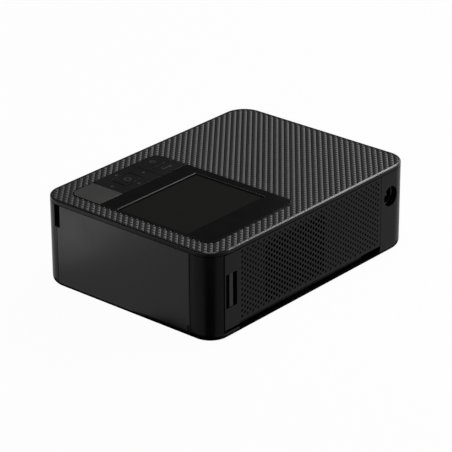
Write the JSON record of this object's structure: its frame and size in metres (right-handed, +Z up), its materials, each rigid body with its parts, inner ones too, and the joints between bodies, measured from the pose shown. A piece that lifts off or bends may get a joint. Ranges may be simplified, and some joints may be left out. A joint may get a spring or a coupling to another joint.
{
  "type": "compact photo printer",
  "caption": "Flat compact photo printer with a lattice-relief top, flush control panel, side ink door, vented back panel and paper slot.",
  "frame": {"origin": "centre of the footprint on the surface that the feet stand on", "axes": "+X towards the ink door, +Y towards the vented back, +Z up"},
  "size_m": [0.1822, 0.133, 0.0576],
  "materials": {
    "base_tray": "fine matt",
    "rubber_feet": "matt",
    "case_screws": "zinc plated",
    "outer_case": "satin",
    "top_cover": "raised lattice relief, satin",
    "control_panel": "fine matt",
    "display_window": "polished",
    "display_module": "satin",
    "button_board": "solder mask",
    "key_switches": "satin",
    "back_button": "satin",
    "power_button": "satin",
    "print_button": "satin",
    "ok_button": "satin",
    "arrow_pad": "satin",
    "pad_carrier": "spring steel",
    "vent_panel": "dimpled lattice",
    "lock_bar": "matt",
    "power_inlet": "matt",
    "inlet_pin": "plated",
    "usb_port": "plated",
    "card_slot": "plated",
    "main_board": "solder mask",
    "flat_cable": "satin",
    "chassis": "zinc plated",
    "bushes": "sintered bronze",
    "gear_plate": "zinc plated",
    "idler_axles": "ground",
    "feed_motor": "satin",
    "ribbon_motor": "satin",
    "feed_pinion": "cut",
    "ribbon_pinion": "cut",
    "idler_gear_a": "natural acetal",
    "idler_gear_b": "natural acetal",
    "capstan_gear": "natural acetal",
    "pickup_gear": "natural acetal",
    "takeup_gear": "natural acetal",
    "capstan_roller": "knurled, ground",
    "platen_roller": "ground rubber",
    "platen_shaft": "ground",
    "pinch_roller": "ground rubber",
    "pinch_shaft": "ground",
    "pickup_roller": "ribbed rubber",
    "pickup_shaft": "ground",
    "head_shaft": "ground",
    "head_arm": "zinc plated",
    "print_head": "milled",
    "ink_cassette": "fine matt",
    "supply_spool": "ribbon on its core",
    "takeup_spool": "ribbon on its core",
    "takeup_spindle": "ground",
    "ribbon_film": "dyed film",
    "cassette_latch": "satin",
    "paper_guide": "fine matt",
    "cassette_guide": "fine matt",
    "fan_frame": "fine matt",
    "fan_rotor": "fine matt",
    "ink_door": "satin",
    "door_pin": "ground",
    "front_cover": "satin"
  },
  "bodies": {
    "printer": {"base_tray": "base_tray", "rubber_feet": "rubber_feet", "case_screws": "case_screws", "outer_case": "outer_case", "top_cover": "top_cover", "control_panel": "control_panel", "display_window": "display_window", "display_module": "display_module", "button_board": "button_board", "key_switches": "key_switches", "vent_panel": "vent_panel", "lock_bar": "lock_bar", "power_inlet": "power_inlet", "inlet_pin": "inlet_pin", "usb_port": "usb_port", "card_slot": "card_slot", "main_board": "main_board", "flat_cable": "flat_cable", "chassis": "chassis", "bushes": "bushes", "gear_plate": "gear_plate", "idler_axles": "idler_axles", "feed_motor": "feed_motor", "ribbon_motor": "ribbon_motor", "head_shaft": "head_shaft", "ink_cassette": "ink_cassette", "ribbon_film": "ribbon_film", "paper_guide": "paper_guide", "cassette_guide": "cassette_guide", "fan_frame": "fan_frame", "door_pin": "door_pin"},
    "ink_door": {"ink_door": "ink_door"},
    "front_cover": {"front_cover": "front_cover"},
    "back_button": {"back_button": "back_button"},
    "power_button": {"power_button": "power_button"},
    "print_button": {"print_button": "print_button"},
    "ok_button": {"ok_button": "ok_button"},
    "pad_carrier": {"pad_carrier": "pad_carrier"},
    "arrow_pad": {"arrow_pad": "arrow_pad"},
    "capstan": {"capstan_roller": "capstan_roller", "capstan_gear": "capstan_gear"},
    "idler_a": {"idler_gear_a": "idler_gear_a"},
    "idler_b": {"idler_gear_b": "idler_gear_b"},
    "pickup": {"pickup_roller": "pickup_roller", "pickup_shaft": "pickup_shaft", "pickup_gear": "pickup_gear"},
    "feed_pinion": {"feed_pinion": "feed_pinion"},
    "takeup": {"takeup_spool": "takeup_spool", "takeup_spindle": "takeup_spindle", "takeup_gear": "takeup_gear"},
    "ribbon_pinion": {"ribbon_pinion": "ribbon_pinion"},
    "supply": {"supply_spool": "supply_spool"},
    "platen": {"platen_roller": "platen_roller", "platen_shaft": "platen_shaft"},
    "pinch": {"pinch_roller": "pinch_roller", "pinch_shaft": "pinch_shaft"},
    "head": {"head_arm": "head_arm", "print_head": "print_head"},
    "latch": {"cassette_latch": "cassette_latch"},
    "fan": {"fan_rotor": "fan_rotor"}
  },
  "joints": [
    {"name": "ink_door_hinge", "type": "hinge", "parent": "printer", "child": "ink_door", "pos_m": [0.0898, 0.0482, 0.0288], "axis": [0, 0, 1], "range_deg": [0, 95]},
    {"name": "front_cover_hinge", "type": "hinge", "parent": "printer", "child": "front_cover", "pos_m": [0.00935, -0.0652, 0.0077], "axis": [1, 0, 0], "range_deg": [0, 90]},
    {"name": "back_press", "type": "slide", "parent": "printer", "child": "back_button", "axis": [0, 0, -1], "range_m": [0, 0.0006], "stiffness_N_per_m": 600},
    {"name": "power_press", "type": "slide", "parent": "printer", "child": "power_button", "axis": [0, 0, -1], "range_m": [0, 0.0006], "stiffness_N_per_m": 600},
    {"name": "print_press", "type": "slide", "parent": "printer", "child": "print_button", "axis": [0, 0, -1], "range_m": [0, 0.0006], "stiffness_N_per_m": 600},
    {"name": "ok_press", "type": "slide", "parent": "printer", "child": "ok_button", "axis": [0, 0, -1], "range_m": [0, 0.0006], "stiffness_N_per_m": 600},
    {"name": "pad_tilt_front_back", "type": "hinge", "parent": "printer", "child": "pad_carrier", "pos_m": [0.0419, -0.04225, 0.056], "axis": [1, 0, 0], "range_deg": [-1.2, 1.2], "stiffness_Nm_per_rad": 0.05},
    {"name": "pad_tilt_left_right", "type": "hinge", "parent": "pad_carrier", "child": "arrow_pad", "pos_m": [0.0419, -0.04225, 0.056], "axis": [0, 1, 0], "range_deg": [-1.2, 1.2], "stiffness_Nm_per_rad": 0.05},
    {"name": "capstan_spin", "type": "hinge", "parent": "printer", "child": "capstan", "pos_m": [0.00935, 0.017, 0.0112], "axis": [1, 0, 0], "continuous": true},
    {"name": "idler_a_spin", "type": "hinge", "parent": "printer", "child": "idler_a", "pos_m": [-0.0621, 0.00023, 0.01902], "axis": [1, 0, 0], "continuous": true},
    {"name": "idler_b_spin", "type": "hinge", "parent": "printer", "child": "idler_b", "pos_m": [-0.0621, -0.02305, 0.02526], "axis": [1, 0, 0], "continuous": true},
    {"name": "pickup_spin", "type": "hinge", "parent": "printer", "child": "pickup", "pos_m": [0.00935, -0.04246, 0.03046], "axis": [1, 0, 0], "continuous": true},
    {"name": "feed_pinion_spin", "type": "hinge", "parent": "printer", "child": "feed_pinion", "pos_m": [-0.0621, -0.0111, 0.03721], "axis": [1, 0, 0], "continuous": true},
    {"name": "takeup_spin", "type": "hinge", "parent": "printer", "child": "takeup", "pos_m": [0.00935, 0.034, 0.033], "axis": [1, 0, 0], "continuous": true},
    {"name": "ribbon_pinion_spin", "type": "hinge", "parent": "printer", "child": "ribbon_pinion", "pos_m": [-0.0621, 0.04538, 0.01944], "axis": [1, 0, 0], "continuous": true},
    {"name": "supply_spin", "type": "hinge", "parent": "printer", "child": "supply", "pos_m": [0.00935, -0.022, 0.033], "axis": [1, 0, 0], "continuous": true},
    {"name": "platen_spin", "type": "hinge", "parent": "printer", "child": "platen", "pos_m": [0.00935, 0.002, 0.013], "axis": [1, 0, 0], "continuous": true},
    {"name": "pinch_spin", "type": "hinge", "parent": "printer", "child": "pinch", "pos_m": [0.00935, 0.017, 0.0176], "axis": [1, 0, 0], "continuous": true},
    {"name": "head_tilt", "type": "hinge", "parent": "printer", "child": "head", "pos_m": [0.00935, 0.017, 0.04], "axis": [1, 0, 0], "range_deg": [0, 15]},
    {"name": "latch_turn", "type": "hinge", "parent": "printer", "child": "latch", "pos_m": [0.0817, -0.041, 0.045], "axis": [1, 0, 0], "range_deg": [0, 30]},
    {"name": "fan_spin", "type": "hinge", "parent": "printer", "child": "fan", "pos_m": [0.01835, 0.0595, 0.0311], "axis": [0, 1, 0], "continuous": true}
  ],
  "couplings": [
    {"joint": "idler_a_spin", "follows": "capstan_spin", "ratio": -0.53333},
    {"joint": "idler_b_spin", "follows": "capstan_spin", "ratio": 0.53333},
    {"joint": "pickup_spin", "follows": "capstan_spin", "ratio": -0.8},
    {"joint": "feed_pinion_spin", "follows": "capstan_spin", "ratio": -1.3333},
    {"joint": "ribbon_pinion_spin", "follows": "takeup_spin", "ratio": -2.6667}
  ]
}
